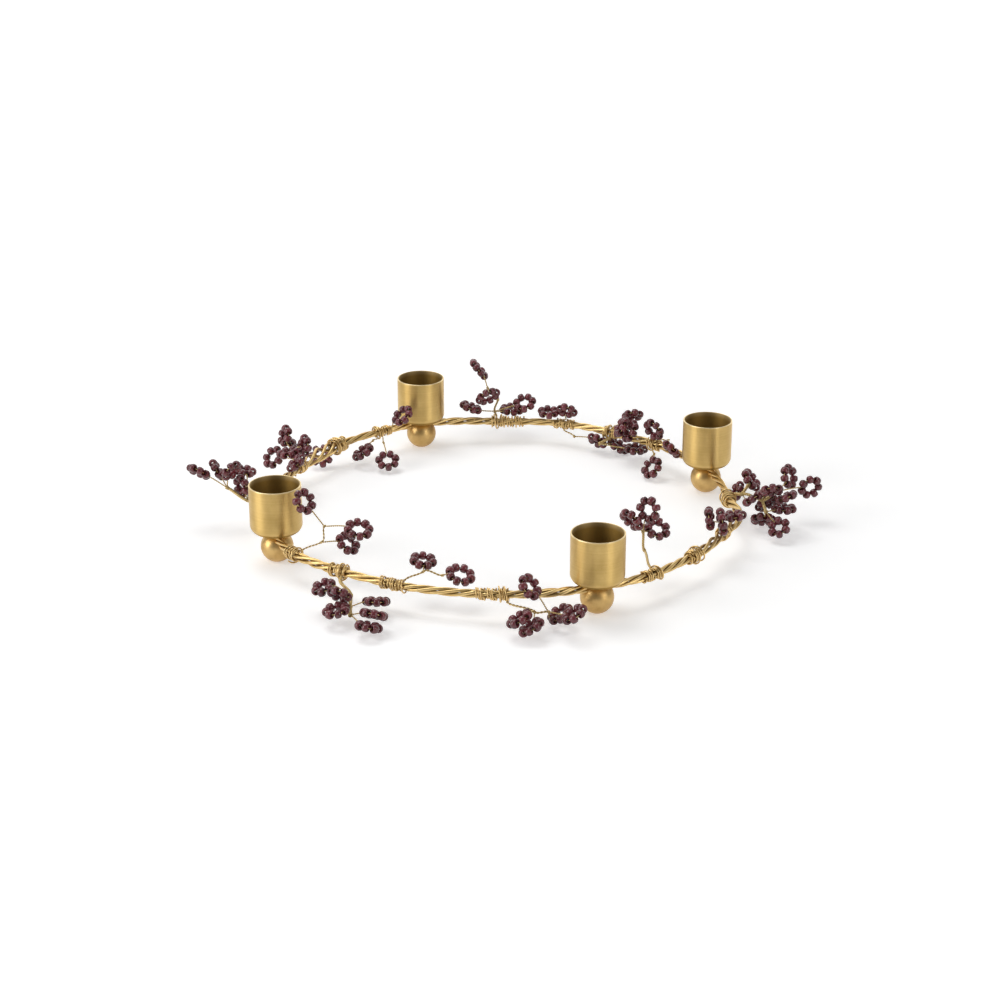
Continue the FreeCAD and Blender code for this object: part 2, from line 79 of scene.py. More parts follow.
def add_node(tree, kind, feeds=None, **settings):
    """Adds a node, sets its options, and links or fills its inputs by name or number. A node
    given for an input stands for its first output."""
    node = tree.nodes.new(kind)
    for option, value in settings.items():
        setattr(node, option, value)
    for name, value in (feeds or {}).items():
        value = value.outputs[0] if isinstance(value, bpy.types.Node) else value
        if isinstance(value, bpy.types.NodeSocket):
            tree.links.new(value, node.inputs[name])
        else:
            node.inputs[name].default_value = value
    return node


def noise(tree, place, scale, detail=2.0, roughness=0.5):
    feeds = {"Vector": place, "Scale": scale, "Detail": detail, "Roughness": roughness}
    return add_node(tree, "ShaderNodeTexNoise", feeds).outputs["Fac"]


def stretch_range(tree, value, low, high, to_low, to_high):
    feeds = {"Value": value, "From Min": low, "From Max": high, "To Min": to_low, "To Max": to_high}
    return add_node(tree, "ShaderNodeMapRange", feeds).outputs["Result"]


def arithmetic(tree, operation, first, second=0.0):
    return add_node(tree, "ShaderNodeMath", {0: first, 1: second}, operation=operation).outputs[0]


def colour_mix(tree, share, first, second):
    feeds = {0: share, 6: first, 7: second}
    return add_node(tree, "ShaderNodeMix", feeds, data_type="RGBA").outputs[2]


def surface_value(tree, name):
    """A value that the piece carries on its own points."""
    return add_node(tree, "ShaderNodeAttribute", attribute_name=name).outputs["Fac"]


def add_sockets(tree, in_out, *rows):
    """Names a group's inputs or outputs. A row is a name, a kind and, where it has one, a value."""
    for name, kind, *value in rows:
        socket = tree.interface.new_socket(name, in_out=in_out, socket_type="NodeSocket" + kind)
        if value:
            socket.default_value = value[0]


def worked_brass_group():
    """Brass that has been handled: patches of deeper tone, a dull film and fine unevenness."""
    tree = bpy.data.node_groups.new("Worked Brass", "ShaderNodeTree")
    add_sockets(tree, "INPUT", ("Place", "Vector"), ("Pale Brass", "Color", cup_pale_brass),
                ("Deep Brass", "Color", cup_deep_brass), ("Patch Scale", "Float", 60.0),
                ("Grain Scale", "Float", 900.0), ("Tone", "Float", 0.0), ("Sheen Roughness", "Float", 0.3))
    add_sockets(tree, "OUTPUT", ("Colour", "Color"), ("Roughness", "Float"), ("Height", "Float"))
    given = add_node(tree, "NodeGroupInput").outputs
    patches = noise(tree, given["Place"], given["Patch Scale"], 4.0, 0.6)
    grain = noise(tree, given["Place"], given["Grain Scale"], 2.0, 0.5)
    specks = stretch_range(tree, grain, 0.62, 0.75, 0.0, 0.25)
    deeper = arithmetic(tree, "ADD", stretch_range(tree, patches, 0.35, 0.75, 0.0, 0.55), specks)
    deeper = arithmetic(tree, "ADD", deeper, given["Tone"])
    share = add_node(tree, "ShaderNodeClamp", {"Value": deeper}).outputs[0]
    colour = colour_mix(tree, share, given["Pale Brass"], given["Deep Brass"])
    film = stretch_range(tree, patches, 0.3, 0.8, -0.04, 0.1)
    rough = arithmetic(tree, "ADD", given["Sheen Roughness"], film)
    rough = arithmetic(tree, "ADD", rough, arithmetic(tree, "MULTIPLY", share, 0.08))
    height = arithmetic(tree, "ADD", arithmetic(tree, "MULTIPLY", patches, 0.6), grain)
    add_node(tree, "NodeGroupOutput", {"Colour": colour, "Roughness": rough, "Height": height})
    return tree


worked_brass = worked_brass_group()


def new_surface(name, metallic=1.0):
    """A material with its own shader, and the object's own coordinates to read."""
    material = bpy.data.materials.new(name)
    material.use_nodes = True
    tree = material.node_tree
    shader = tree.nodes["Principled BSDF"]
    shader.inputs["Metallic"].default_value = metallic
    place = add_node(tree, "ShaderNodeTexCoord").outputs["Object"]
    return material, tree, shader, place


def brass_outputs(tree, place, **values):
    feeds = {name.replace("_", " ").title(): value for name, value in values.items()}
    return add_node(tree, "ShaderNodeGroup", {"Place": place, **feeds}, node_tree=worked_brass).outputs


def finish_surface(tree, shader, colour, rough, height, depth, strength=1.0):
    bump = add_node(tree, "ShaderNodeBump", {"Height": height, "Strength": strength, "Distance": depth})
    tree.links.new(colour, shader.inputs["Base Color"])
    tree.links.new(rough, shader.inputs["Roughness"])
    tree.links.new(bump.outputs["Normal"], shader.inputs["Normal"])


def lathe_brass():
    """Brushed brass, lines round it from its own map; painted highlight on the lip, painted shade inside.
    """
    material, tree, shader, place = new_surface("lathe_brass")
    own_map = add_node(tree, "ShaderNodeUVMap", uv_map="lathe").outputs["UV"]
    lines = add_node(tree, "ShaderNodeMapping", {"Vector": own_map, "Scale": (6.0, 900.0, 1.0)})
    brushing = noise(tree, lines.outputs[0], 1.0, 3.0, 0.6)
    bands = add_node(tree, "ShaderNodeMapping", {"Vector": own_map, "Scale": (1.5, 60.0, 1.0)})
    turning = noise(tree, bands.outputs[0], 1.0, 2.0, 0.5)
    # Painted shade: the inside of the cup is made deeper brass and mixed towards dark brown
    inside = surface_value(tree, "inside")
    tone = arithmetic(tree, "ADD", stretch_range(tree, turning, 0.3, 0.7, -0.1, 0.15),
                      arithmetic(tree, "MULTIPLY", inside, 0.9))
    brass = brass_outputs(tree, place, tone=tone, patch_scale=70.0, grain_scale=1400.0,
                          sheen_roughness=0.36)
    # Painted highlight: the lip is mixed towards pale brass where the rim catches the light
    lip_highlight = surface_value(tree, "lip_highlight")
    colour = colour_mix(tree, lip_highlight, brass["Colour"], (0.86, 0.70, 0.40, 1))
    # Painted shade inside the cup, mixed towards dark brown
    inside_shaded = colour_mix(tree, arithmetic(tree, "MULTIPLY", inside, 0.35), colour, (0.24, 0.13, 0.02, 1))
    rough = stretch_range(tree, brushing, 0.2, 0.8, -0.05, 0.09)
    rough = arithmetic(tree, "ADD", brass["Roughness"], rough)
    rough = arithmetic(tree, "ADD", rough, arithmetic(tree, "MULTIPLY", inside, 0.3))
    height = arithmetic(tree, "ADD", arithmetic(tree, "MULTIPLY", brass["Height"], 0.5), brushing)
    finish_surface(tree, shader, inside_shaded, rough, height, brush_depth)
    # Brushed rings spread a reflection up and down the wall, across the lines
    lathe_way = add_node(tree, "ShaderNodeTangent", direction_type="UV_MAP", uv_map="lathe")
    tree.links.new(lathe_way.outputs[0], shader.inputs["Tangent"])
    shader.inputs["Anisotropic"].default_value = 0.8
    shader.inputs["Anisotropic Rotation"].default_value = 0.25
    return material


def round_arc(centre_r, centre_z, radius, first, last, steps):
    angles = [math.radians(first + (last - first) * step / steps) for step in range(steps + 1)]
    return [(centre_r + radius * math.cos(a), centre_z + radius * math.sin(a)) for a in angles]


def turned_mesh(name, outline, around, axis_x, axis_y):
    """Turns an outline of radius and height about an upright axis, closed at both poles."""
    rings = [(r, z) for r, z in outline if r > 1e-7]
    low_pole, high_pole = outline[0], outline[-1]
    points = [(axis_x, axis_y, low_pole[1])]
    for r, z in rings:
        for step in range(around):
            turn = 2 * math.pi * step / around
            points.append((axis_x + r * math.cos(turn), axis_y + r * math.sin(turn), z))
    points.append((axis_x, axis_y, high_pole[1]))
    last = len(points) - 1
    faces = [(0, 1 + (step + 1) % around, 1 + step) for step in range(around)]
    for ring in range(len(rings) - 1):
        start = 1 + ring * around
        for step in range(around):
            after = (step + 1) % around
            faces.append((start + step, start + after, start + around + after, start + around + step))
    start = 1 + (len(rings) - 1) * around
    faces += [(start + step, start + (step + 1) % around, last) for step in range(around)]
    mesh = bpy.data.meshes.new(name)
    mesh.from_pydata(points, [], faces)
    mesh.polygons.foreach_set("use_smooth", [True] * len(mesh.polygons))
    lengths = [0.0]
    for (r0, z0), (r1, z1) in zip(outline, outline[1:]):
        lengths.append(lengths[-1] + math.hypot(r1 - r0, z1 - z0))
    runs = [lengths[outline.index(ring)] for ring in rings for _ in range(around)]
    along = [lengths[0]] + runs + [lengths[-1]]
    layer = mesh.uv_layers.new(name="lathe")
    for face in mesh.polygons:
        turns = []
        for loop in face.loop_indices:
            point = points[mesh.loops[loop].vertex_index]
            turns.append(math.atan2(point[1] - axis_y, point[0] - axis_x) / (2 * math.pi))
        wrapped = max(turns) - min(turns) > 0.5
        for loop, turn in zip(face.loop_indices, turns):
            turn = turn + 1 if wrapped and turn < 0 else turn
            layer.data[loop].uv = (turn, along[mesh.loops[loop].vertex_index] / lathe_map_length)
    mesh.validate()
    return mesh


def soft_attribute(mesh, name, values):
    attribute = mesh.attributes.new(name, "FLOAT", "POINT")
    attribute.data.foreach_set("value", values)


def settle(piece, slot, *nodes):
    """Hangs a finished piece on the ring in place of its plain solids."""
    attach(piece, "root")
    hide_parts(*nodes)


def link_piece(name, mesh, material):
    piece = bpy.data.objects.new(name, mesh)
    bpy.context.scene.collection.objects.link(piece)
    if material.name not in mesh.materials:
        mesh.materials.append(material)
    return piece


def cup_outline():
    inner = cup_radius - cup_wall
    inner_corner = cup_corner - cup_wall
    floor_top = cup_floor_z + cup_wall
    outline = [(0.0, cup_floor_z)] + [(cup_radius * share, cup_floor_z) for share in (0.2, 0.4, 0.6)]
    outline += round_arc(cup_radius - cup_corner, cup_floor_z + cup_corner, cup_corner, -90, 0, 10)
    wall_low, wall_high = cup_floor_z + cup_corner, cup_rim_z - cup_lip
    outline += [(cup_radius, wall_low + (wall_high - wall_low) * step / 8) for step in range(1, 8)]
    outline += [(cup_radius, wall_high - cup_lip_edge)]
    outline += round_arc(cup_radius - cup_lip, wall_high, cup_lip, 0, 90, 5)
    outline += round_arc(inner + cup_lip, wall_high, cup_lip, 90, 180, 5)
    inner_low = floor_top + inner_corner
    outline += [(inner, wall_high + (inner_low - wall_high) * step / 8) for step in range(1, 8)]
    outline += round_arc(inner - inner_corner, inner_low, inner_corner, 0, -90, 10)
    outline += [(inner * share, floor_top) for share in (0.6, 0.4, 0.2)] + [(0.0, floor_top)]
    return outline


cup_brass = lathe_brass()
cup_axes = {}
for corner, azimuth in cup_azimuths.items():
    turn = math.radians(azimuth)
    axis_x, axis_y = cup_axes[corner] = ring_radius * math.cos(turn), ring_radius * math.sin(turn)
    mesh = turned_mesh("cup_" + corner, cup_outline(), cup_sides, axis_x, axis_y)
    from_axis = [math.hypot(v.co.x - axis_x, v.co.y - axis_y) for v in mesh.vertices]
    # The inside is marked for painted shade
    soft_attribute(mesh, "inside", [
        1.0 if r < cup_radius - 0.8 * cup_wall and v.co.z > cup_floor_z + 0.5 * cup_wall else 0.0
        for r, v in zip(from_axis, mesh.vertices)])
    # The lip is marked for its painted highlight
    soft_attribute(mesh, "lip_highlight", [
        lip_highlight_share if v.co.z > cup_rim_z - 1.01 * cup_lip else 0.0 for v in mesh.vertices])
    settle(link_piece("cup_" + corner, mesh, cup_brass), "cup_brass", "candle_cup_" + corner)


# Ball feet
# Four solid brass balls. The cup is soldered on a small flat on top, and the ring's wires
# run into the sides. Handling has left soft patches, and a band just under the cup is darker.
ball_radius = 7.5 * mm
# The darker band just under the cup: its height, and how far it fades
collar_height = 1.6 * mm
collar_fade = 1.4 * mm
mottle_depth = 0.02 * mm
ball_sides = 64


def ball_brass():
    material, tree, shader, place = new_surface("ball_brass")
    # A band just under the cup is made darker brass
    collar = surface_value(tree, "collar")
    mottle = noise(tree, place, 260.0, 3.0, 0.55)
    tone = arithmetic(tree, "ADD", stretch_range(tree, mottle, 0.35, 0.7, -0.15, 0.35),
                      arithmetic(tree, "MULTIPLY", collar, 0.8))
    brass = brass_outputs(tree, place, tone=tone, pale_brass=(0.64, 0.43, 0.17, 1),
                          deep_brass=(0.42, 0.25, 0.08, 1), patch_scale=110.0,
                          grain_scale=1500.0, sheen_roughness=0.38)
    height = arithmetic(tree, "ADD", brass["Height"], arithmetic(tree, "MULTIPLY", mottle, 2.0))
    finish_surface(tree, shader, brass["Colour"], brass["Roughness"], height, mottle_depth)
    return material


foot_brass = ball_brass()
flat_angle = math.degrees(math.asin((cup_floor_z - ball_radius) / ball_radius))
for corner, axis in cup_axes.items():
    outline = [(0.0, 0.0)] + round_arc(0, ball_radius, ball_radius, -87, flat_angle, 30)
    flat_radius = outline[-1][0]
    outline += [(flat_radius * share, cup_floor_z) for share in (0.7, 0.35)] + [(0.0, cup_floor_z)]
    mesh = turned_mesh("ball_" + corner, outline, ball_sides, *axis)
    soft_attribute(mesh, "collar", [
        max(0.0, min(1.0, (v.co.z - cup_floor_z + collar_height) / collar_fade)) for v in mesh.vertices])
    settle(link_piece("ball_" + corner, mesh, foot_brass), "ball_brass", "ball_foot_" + corner)


# Ring wires
# Each stretch is four brass wires twisted by hand and run from ball to ball. The hollows
# between the wires are painted brown, as painted shade and some tarnish, and the crowns stay pale.
strand_count = 4
strand_diameter = 1.5 * mm
strand_gap = 0.06 * mm
strand_turn_radius = (strand_diameter + strand_gap) / (2 * math.sin(math.pi / strand_count))
bundle_radius = strand_turn_radius + strand_diameter / 2
cup_clearance = 0.2 * mm
ring_z = cup_floor_z - cup_clearance - bundle_radius
ring_turns = 5
ring_wander = 0.03
ball_bite_share = 0.35
hand_bend = 6.0 * mm
strand_spread = 2.0 * mm
draw_line_depth = 0.02 * mm
strand_sides = 14
steps_in_a_turn = 30
# Each stretch of the ring: the cups it joins and, at nine even places from one to the other,
# how far it is bent out and up, as shares of hand_bend, and how far its strands are spread,
# as shares of strand_spread
stretches = {
    "front": {
        "cups": ("front_left", "front_right"),
        "out_shares": (0.15, 0.42, 0.15, -0.12, -0.13, -0.13, 0.0, 0.1, 0.15),
        "up_shares": (0.0, 0.0, 0.02, 0.02, 0.0, 0.0, 0.0, 0.0, 0.0),
        "spread_shares": (0.0, 0.1, 0.15, 0.0, 0.0, 0.05, 0.0, 0.1, 0.0),
    },
    "right": {
        "cups": ("front_right", "rear_right"),
        "out_shares": (0.2, 0.35, 0.2, 0.25, 0.3, 0.8, -0.05, -0.1, 0.0),
        "up_shares": (0.0, 0.0, 0.0, 0.02, 0.04, 0.02, 0.0, 0.0, 0.0),
        "spread_shares": (0.0, 0.05, 0.05, 0.2, 0.3, 0.2, 0.05, 0.0, 0.0),
    },
    "rear": {
        "cups": ("rear_right", "rear_left"),
        "out_shares": (0.0, -0.1, -0.1, -0.25, 0.05, 0.05, -0.25, -0.05, 0.0),
        "up_shares": (0.0, -0.1, -0.17, -0.17, -0.17, -0.17, -0.17, -0.1, 0.0),
        "spread_shares": (0.0, 0.05, 0.1, 0.1, 0.0, 0.0, 0.05, 0.1, 0.0),
    },
    "left": {
        "cups": ("rear_left", "front_left"),
        "out_shares": (0.0, -0.1, -0.25, -0.5, -0.7, -0.5, -0.2, -0.05, 0.0),
        "up_shares": (0.0, -0.05, -0.08, -0.1, -0.1, -0.08, -0.05, 0.0, 0.0),
        "spread_shares": (0.0, 0.0, 0.05, 0.9, 0.1, 0.2, 0.1, 0.0, 0.0),
    },
}


def eased(shares, share):
    """A smooth value between evenly spaced shares, passing through each of them."""
    last = len(shares) - 1
    index = min(max(int(share * last), 0), last - 1)
    part = share * last - index
    start, end = shares[index], shares[index + 1]
    start_slope = (end - shares[max(index - 1, 0)]) / 2
    end_slope = (shares[min(index + 2, last)] - start) / 2
    square, cube = part ** 2, part ** 3
    return ((2 * cube - 3 * square + 1) * start + (cube - 2 * square + part) * start_slope
            + (3 * square - 2 * cube) * end + (cube - square) * end_slope)


def ring_point(name, share):
    stretch = stretches[name]
    start, end = [cup_azimuths[cup] for cup in stretch["cups"]]
    azimuth = math.radians(start + (end - start) % 360 * share)
    radius = ring_radius + hand_bend * eased(stretch["out_shares"], share)
    height = ring_z + hand_bend * eased(stretch["up_shares"], share)
    return Vector((radius * math.cos(azimuth), radius * math.sin(azimuth), height))


def ring_directions(name, share):
    along = (ring_point(name, share + 0.001) - ring_point(name, share - 0.001)).normalized()
    outward = along.cross(Vector((0, 0, 1))).normalized()
    return along, outward, outward.cross(along)


def spread_at(name, share):
    return strand_spread * max(0, eased(stretches[name]["spread_shares"], share))


def twisted_wire_tree():
    """Lays wires side by side round a path and twists them: each point of the path carries
    how far out its wires lie, how many turns they have made, and how thick they are."""
    tree = bpy.data.node_groups.new("Twisted Wires", "GeometryNodeTree")
    add_sockets(tree, "INPUT", ("Geometry", "Geometry"), ("Wires", "Int"), ("Wire Sides", "Int"),
                ("Wire Material", "Material"))
    add_sockets(tree, "OUTPUT", ("Geometry", "Geometry"))
    given = add_node(tree, "NodeGroupInput").outputs

    def carried(name, kind="FLOAT"):
        return add_node(tree, "GeometryNodeInputNamedAttribute", {"Name": name}, data_type=kind).outputs[0]

    def vectors(operation, first, second=None, scale=None):
        node = add_node(tree, "ShaderNodeVectorMath", {0: first}, operation=operation)
        if second is not None:
            tree.links.new(second, node.inputs[1])
        if scale is not None:
            tree.links.new(scale, node.inputs["Scale"])
        return node.outputs["Value" if operation == "DOT_PRODUCT" else "Vector"]

    path = add_node(tree, "GeometryNodeMeshToCurve", {"Mesh": given["Geometry"]}).outputs[0]
    copies = add_node(tree, "GeometryNodeDuplicateElements", {"Geometry": path, "Amount": given["Wires"]},
                      domain="SPLINE")
    own_turn = arithmetic(tree, "DIVIDE", copies.outputs[1], given["Wires"])
    turn = arithmetic(tree, "ADD", carried("turns"), own_turn)
    angle = arithmetic(tree, "MULTIPLY", turn, 2 * math.pi)
    first_way = carried("side", "FLOAT_VECTOR")
    tangent = add_node(tree, "GeometryNodeInputTangent").outputs[0]
    second_way = vectors("NORMALIZE", vectors("CROSS_PRODUCT", first_way, tangent))
    first_way = vectors("NORMALIZE", vectors("CROSS_PRODUCT", tangent, second_way))
    over_first = vectors("SCALE", first_way, scale=arithmetic(tree, "COSINE", angle))
    over_second = vectors("SCALE", second_way, scale=arithmetic(tree, "SINE", angle))
    lean = vectors("ADD", over_first, over_second)
    leaning = add_node(tree, "GeometryNodeStoreNamedAttribute", {
        "Geometry": copies, "Name": "lean", "Value": lean}, data_type="FLOAT_VECTOR", domain="POINT")
    offset = vectors("SCALE", carried("lean", "FLOAT_VECTOR"), scale=carried("lay"))
    laid = add_node(tree, "GeometryNodeSetPosition", {"Geometry": leaning, "Offset": offset})
    section = add_node(tree, "GeometryNodeCurvePrimitiveCircle", {
        "Resolution": given["Wire Sides"], "Radius": 1.0})
    tube = add_node(tree, "GeometryNodeCurveToMesh", {
        "Curve": laid, "Profile Curve": section, "Scale": carried("thick"), "Fill Caps": True})
    # Faces turned in towards the bundle's middle, the hollows, are marked for painted shade and tarnish
    facing = vectors("DOT_PRODUCT", add_node(tree, "GeometryNodeInputNormal").outputs[0],
                     carried("lean", "FLOAT_VECTOR"))
    hollow = stretch_range(tree, facing, 0.45, -0.5, 0.0, 1.0)
    hollow_shade_and_tarnish = add_node(tree, "GeometryNodeStoreNamedAttribute", {
        "Geometry": tube, "Name": "hollow", "Value": hollow}, data_type="FLOAT", domain="POINT")
    smooth = add_node(tree, "GeometryNodeSetShadeSmooth", {"Geometry": hollow_shade_and_tarnish, "Shade Smooth": True})
    whole = add_node(tree, "GeometryNodeRealizeInstances", {"Geometry": smooth})
    coloured = add_node(tree, "GeometryNodeSetMaterial", {
        "Geometry": whole, "Material": given["Wire Material"]})
    add_node(tree, "NodeGroupOutput", {"Geometry": coloured})
    return tree


twisted_wires = twisted_wire_tree()


def grown(name, mesh, tree, values):
    """Runs a tree of nodes on a mesh of paths or points, and gives back the plain mesh."""
    worker = bpy.data.objects.new(name, mesh)
    bpy.context.scene.collection.objects.link(worker)
    modifier = worker.modifiers.new("growth", "NODES")
    modifier.node_group = tree
    for item in tree.interface.items_tree:
        if item.in_out == "INPUT" and item.name in values:
            modifier[item.identifier] = values[item.name]
    graph = bpy.context.evaluated_depsgraph_get()
    made = bpy.data.meshes.new_from_object(worker.evaluated_get(graph), depsgraph=graph)
    worker.modifiers.clear()
    bpy.data.objects.remove(worker)
    for attribute in [a.name for a in made.attributes]:
        if attribute in ("lay", "turns", "thick", "side", "lean", "hole", "size"):
            made.attributes.remove(made.attributes[attribute])
    return made


def path_mesh(name, paths):
    """Paths as lines of points. Each point is its place, its side way, lay, turns and thickness."""
    points, edges, sides, numbers = [], [], [], {"lay": [], "turns": [], "thick": []}
    for path in paths:
        edges += [(len(points) + step, len(points) + step + 1) for step in range(len(path) - 1)]
        for place, side, lay, turns, thick in path:
            points.append(place)
            sides += list(side)
            for key, value in (("lay", lay), ("turns", turns), ("thick", thick)):
                numbers[key].append(value)
    mesh = bpy.data.meshes.new(name)
    mesh.from_pydata(points, edges, [])
    for key, values in numbers.items():
        soft_attribute(mesh, key, values)
    mesh.attributes.new("side", "FLOAT_VECTOR", "POINT").data.foreach_set("vector", sides)
    return mesh


def joined(name, meshes):
    """One piece of several meshes, each with the attribute that the painted shade and tarnish read."""
    holder = [link_piece(name, meshes[0], meshes[0].materials[0])]
    holder += [link_piece(name + "_more", mesh, mesh.materials[0]) for mesh in meshes[1:]]
    with bpy.context.temp_override(active_object=holder[0], selected_editable_objects=holder):
        bpy.ops.object.join()
    return holder[0]


def wire_brass(name, pale, deep, hollow_shade_and_tarnish, rough):
    """Wire brass: pale crowns, and hollows between turns painted brown, as painted shade and tarnish."""
    material, tree, shader, place = new_surface(name)
    hollow = surface_value(tree, "hollow")
    drawn = noise(tree, place, 480.0, 3.0, 0.6)
    # In the hollows the brass is made deeper and mixed towards brown: painted shade, with some tarnish
    tone = arithmetic(tree, "ADD", stretch_range(tree, drawn, 0.35, 0.7, -0.1, 0.4),
                      arithmetic(tree, "MULTIPLY", hollow, 0.5))
    brass = brass_outputs(tree, place, tone=tone, pale_brass=pale, deep_brass=deep,
                          patch_scale=140.0, grain_scale=2600.0, sheen_roughness=rough)
    share = arithmetic(tree, "MULTIPLY", hollow, 0.75)
    colour = colour_mix(tree, share, brass["Colour"], hollow_shade_and_tarnish)
    finish_surface(tree, shader, colour, brass["Roughness"], brass["Height"], draw_line_depth)
    return material


ring_brass = wire_brass(
    "ring_brass", (0.84, 0.62, 0.28, 1), (0.64, 0.42, 0.15, 1), (0.27, 0.15, 0.04, 1), 0.3)
steps = steps_in_a_turn * ring_turns
for name in stretches:
    path = []
    for step in range(steps + 1):
        share = step / steps
        lay = strand_turn_radius + spread_at(name, share)
        wander = ring_wander * math.sin(9 * share * math.pi + len(name))
        path.append((ring_point(name, share), ring_directions(name, share)[1], lay,
                     ring_turns * share + wander, strand_diameter / 2))
    # The wires stop inside the balls, so the path is cut back from the ball's middle
    cut = [row for row in path if min(
        (row[0] - path[0][0]).length, (row[0] - path[-1][0]).length) > ball_bite_share * ball_radius]
    mesh = grown(name, path_mesh(name, [cut]), twisted_wires, {
        "Wires": strand_count, "Wire Sides": strand_sides, "Wire Material": ring_brass})
    settle(link_piece("wires_" + name, mesh, ring_brass), "ring_wire_brass", "ring_wires_" + name)


# Windings
# Sixteen short windings of one soft wire each. They grip the ring and hold a sprig's foot,
# are wound by hand, and so lie a little loose and uneven.
binding_diameter = 0.75 * mm
binding_turn_gap = 0.5 * mm
binding_pitch = binding_diameter + binding_turn_gap
binding_clearance = 0.06 * mm
binding_slack = 0.5 * mm
slack_wave_share = 0.27
binding_lean = 0.3 * mm
loose_end_lift = 0.3 * mm
loose_end_turns = 0.2
binding_sides = 12
binding_steps_in_a_turn = 24
crossing_clearance = 0.03 * mm
# Where the end climbs onto the others: how far before the last full turn, and over how much
climb_lead, climb_turns = 0.25, 0.4
# Turns that the end makes on its way back over the others, taken in this order, and how many
# of the turns below it passes in one turn of its own
crossing_turns = (0.9, 1.4, 0.0, 1.8)
crossing_stride = 2.2
# The windings: stretch, place along it, turns, pitch share and slack share
binding_shares = (
    ("front", 0.131, 5, 1.30, 0.9),
    ("front", 0.300, 7, 1.00, 0.8),
    ("front", 0.463, 9, 1.05, 0.7),
    ("front", 0.727, 12, 1.00, 0.4),
    ("right", 0.157, 8, 1.00, 0.3),
    ("right", 0.322, 6, 1.05, 0.9),
    ("right", 0.500, 4, 1.10, 0.5),
    ("right", 0.750, 5, 1.25, 0.9),
    ("rear", 0.244, 5, 1.05, 0.5),
    ("rear", 0.405, 5, 1.10, 0.9),
    ("rear", 0.561, 8, 1.05, 0.5),
    ("rear", 0.735, 11, 1.25, 1.0),
    ("left", 0.123, 8, 1.00, 0.4),
    ("left", 0.289, 7, 1.00, 0.5),
    ("left", 0.490, 4, 1.20, 0.7),
    ("left", 0.780, 6, 1.00, 0.5),
)


def ring_length(name):
    start, end = [cup_azimuths[cup] for cup in stretches[name]["cups"]]
    return math.radians((end - start) % 360) * ring_radius


class Winding:
    """How one winding lies on its stretch, turn by turn."""
    def __init__(self, row, number):
        self.stretch, place_share, self.turns, pitch_share, slack_share = row
        self.length_share = self.turns * binding_pitch * pitch_share / ring_length(self.stretch)
        self.start_share = place_share - self.length_share / 2
        self.slack, self.number = binding_slack * slack_share, number

    def share_at(self, turn):
        return self.start_share + self.length_share * turn / self.turns

    def radius_at(self, turn):
        spread = max(spread_at(self.stretch, self.share_at(place)) for place in (0, turn, self.turns))
        loose = self.slack * (1 - math.cos(2 * math.pi * slack_wave_share * turn + self.number)) / 2
        return bundle_radius + spread + binding_diameter / 2 + binding_clearance + loose

    def path(self):
        """The turns lean each its own way. In most windings the end crosses back over them."""
        wound = self.turns + crossing_turns[self.number % len(crossing_turns)]
        steps = round(binding_steps_in_a_turn * wound)
        rows = []
        for step in range(steps + 1):
            run = wound * step / steps
            turn = run if run < self.turns else self.turns - crossing_stride * (run - self.turns)
            rise = min(1.0, max(0.0, (run - self.turns + climb_lead) / climb_turns))
            under = [min(self.turns, max(0.0, turn + side)) for side in (-1, -0.5, 0, 0.5, 1)]
            over = max(self.radius_at(place) for place in under) + binding_diameter + crossing_clearance
            radius = self.radius_at(turn) * (1 - rise) + over * rise
            loose_end = loose_end_lift * max(0.0, 1 - (wound - run) / loose_end_turns)
            lean = binding_lean * math.sin(1.5 * math.pi * run + 2 * self.number)
            along, side_way = ring_directions(self.stretch, self.share_at(turn))[:2]
            rows.append((ring_point(self.stretch, self.share_at(turn)) + along * lean, side_way,
                         radius + loose_end, -run - self.number / (2 * math.pi), binding_diameter / 2))
        return rows


winding_brass = wire_brass(
    "winding_brass", (0.84, 0.61, 0.28, 1), (0.60, 0.39, 0.14, 1), (0.25, 0.135, 0.04, 1), 0.3)
windings = {}
for row in binding_shares:
    number = 1 + sum(winding.stretch == row[0] for winding in windings.values())
    windings[row[0] + "_" + str(number)] = Winding(row, len(windings))
for name, winding in windings.items():
    mesh = grown(name, path_mesh(name, [winding.path()]), twisted_wires, {
        "Wires": 1, "Wire Sides": binding_sides, "Wire Material": winding_brass})
    settle(link_piece("winding_" + name, mesh, winding_brass), "winding_brass", "binding_wire_" + name)


# Sprigs
# Each sprig is fine brass wire: strands twisted into a trunk, pairs twisted into stems, and
# a single wire round each loop of beads. A few tight turns bind each fork.
fine_wire_diameter = 0.36 * mm
fine_wire_sides = 8
pair_diameter = 2 * fine_wire_diameter
sprig_reach = 10.0 * mm
root_sink = 0.4 * mm
wire_step = 0.3 * mm
trunk_lay_length = 3.2 * mm
pair_lay_length = 1.9 * mm
pair_lay_share = 0.52
slim_trunk_diameter = 1.1 * mm
triple_strand_share = 0.46
knot_reach = 0.7 * mm
knot_pitch = 0.42 * mm
knot_wire_radius = 0.16 * mm
knot_clearance = 0.05 * mm
bead_diameter = 4.2 * mm
bead_length = 3.0 * mm
bead_hole = 1.2 * mm
bead_end_width = 0.35 * mm
bead_gap = 0.1 * mm
bead_size_shares = (1.0, 0.96, 1.02, 0.94)
bead_reach_share = 0.53
bead_slip_share = 0.07
